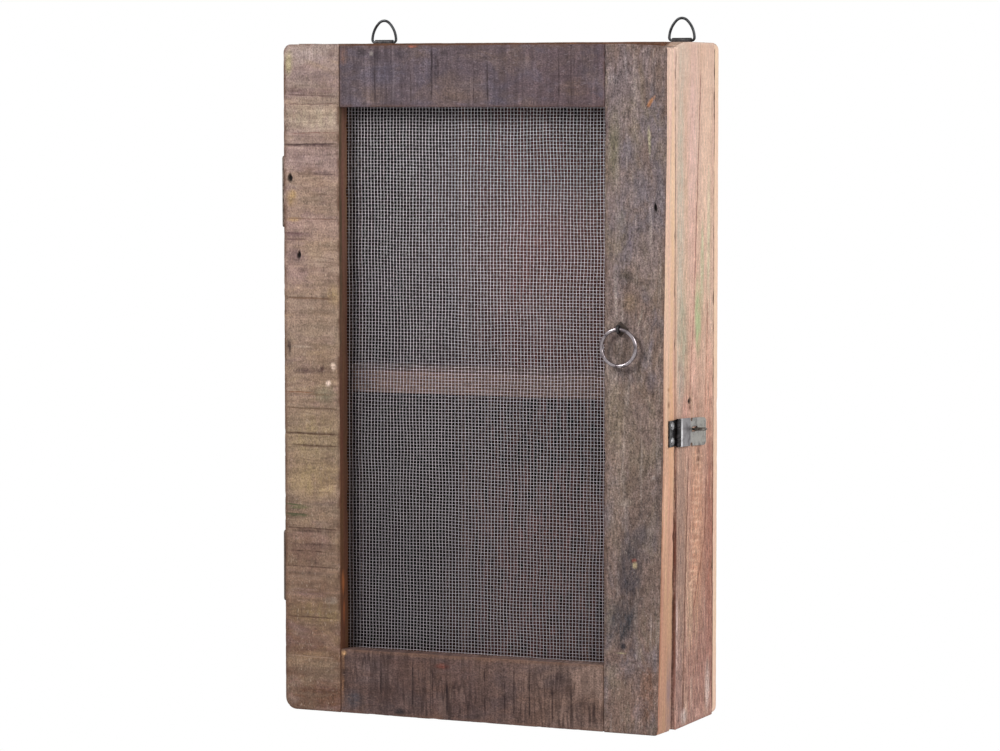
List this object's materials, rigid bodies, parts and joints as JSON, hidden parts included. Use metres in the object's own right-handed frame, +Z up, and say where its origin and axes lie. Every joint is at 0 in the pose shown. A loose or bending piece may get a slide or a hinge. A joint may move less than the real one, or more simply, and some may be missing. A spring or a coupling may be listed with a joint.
{
  "type": "wall cupboard",
  "caption": "Shallow wall-hung cupboard of reclaimed boards with a shelf and a hinged wire-mesh door, ring pull, side hasp and hanging rings.",
  "frame": {"origin": "midway between the two hook points, inside the crowns of the hanging rings and in their plane", "axes": "+X to the right as seen from the front, +Y into the wall, +Z up; the door faces -Y"},
  "size_m": [0.4211, 0.1638, 0.6839],
  "materials": {
    "pale_board": "worn pale reclaimed board with cross saw marks",
    "grey_board": "weathered grey-brown board",
    "plum_board": "dark plum-grey board with cross saw marks",
    "dark_board": "dark brown board with cross saw marks",
    "left_side_wood": "reddish reclaimed board",
    "right_side_wood": "reddish board with traces of pale green paint",
    "inside_wood": "unfinished brown board",
    "shelf_wood": "unfinished brown board",
    "back_wood": "unfinished reddish board",
    "bead_wood": "plain unfinished strip",
    "mesh_wire": "dull galvanised wire",
    "ring_steel": "worn steel",
    "hanger_steel": "worn steel",
    "staple_wire": "worn wire",
    "screw_steel": "dull steel",
    "dark_iron": "blackened iron",
    "hasp_iron": "worn grey iron",
    "nail_iron": "rusted iron"
  },
  "bodies": {
    "carcass": {"left_side_board": "left_side_wood", "right_side_board": "right_side_wood", "top_board": "inside_wood", "bottom_board": "inside_wood", "shelf_board": "shelf_wood", "back_board_left": "back_wood", "back_board_middle": "back_wood", "back_board_right": "back_wood", "carcass_nails": "nail_iron", "back_board_nails": "nail_iron", "upper_hinge_carcass_leaf": "dark_iron", "lower_hinge_carcass_leaf": "dark_iron", "upper_hinge_pin": "dark_iron", "lower_hinge_pin": "dark_iron", "hinge_carcass_screws": "screw_steel", "hasp_staple": "staple_wire", "left_hanger_strap": "dark_iron", "right_hanger_strap": "dark_iron", "hanger_screws": "screw_steel"},
    "door": {"left_stile": "pale_board", "right_stile": "grey_board", "top_rail": "plum_board", "bottom_rail": "dark_board", "wire_mesh": "mesh_wire", "left_mesh_bead": "bead_wood", "right_mesh_bead": "bead_wood", "top_mesh_bead": "bead_wood", "bottom_mesh_bead": "bead_wood", "upper_hinge_door_leaf": "dark_iron", "lower_hinge_door_leaf": "dark_iron", "hinge_door_screws": "screw_steel", "hasp_leaf": "hasp_iron", "hasp_pin": "hasp_iron", "hasp_leaf_screws": "screw_steel", "pull_eye": "dark_iron", "pull_rose": "dark_iron"},
    "pull_ring": {"pull_ring": "ring_steel"},
    "hasp_strap": {"hasp_strap": "hasp_iron"},
    "left_hanger_ring": {"left_hanger_ring": "hanger_steel"},
    "right_hanger_ring": {"right_hanger_ring": "hanger_steel"}
  },
  "joints": [
    {"name": "door_swing", "type": "hinge", "parent": "carcass", "child": "door", "pos_m": [-0.20376, -0.12011, -0.35225], "axis": [0, 0, -1], "range_deg": [0, 170]},
    {"name": "pull_ring_lift", "type": "hinge", "parent": "door", "child": "pull_ring", "pos_m": [0.156, -0.15661, -0.29525], "axis": [-1, 0, 0], "range_deg": [-3, 155]},
    {"name": "hasp_swing", "type": "hinge", "parent": "door", "child": "hasp_strap", "pos_m": [0.20316, -0.12011, -0.39475], "axis": [0, 0, -1], "range_deg": [0, 160]},
    {"name": "left_hanger_fold", "type": "hinge", "parent": "carcass", "child": "left_hanger_ring", "pos_m": [-0.1605, 0, -0.02045], "axis": [1, 0, 0], "range_deg": [-170, 85]},
    {"name": "right_hanger_fold", "type": "hinge", "parent": "carcass", "child": "right_hanger_ring", "pos_m": [0.1605, 0, -0.02045], "axis": [1, 0, 0], "range_deg": [-170, 85]}
  ]
}
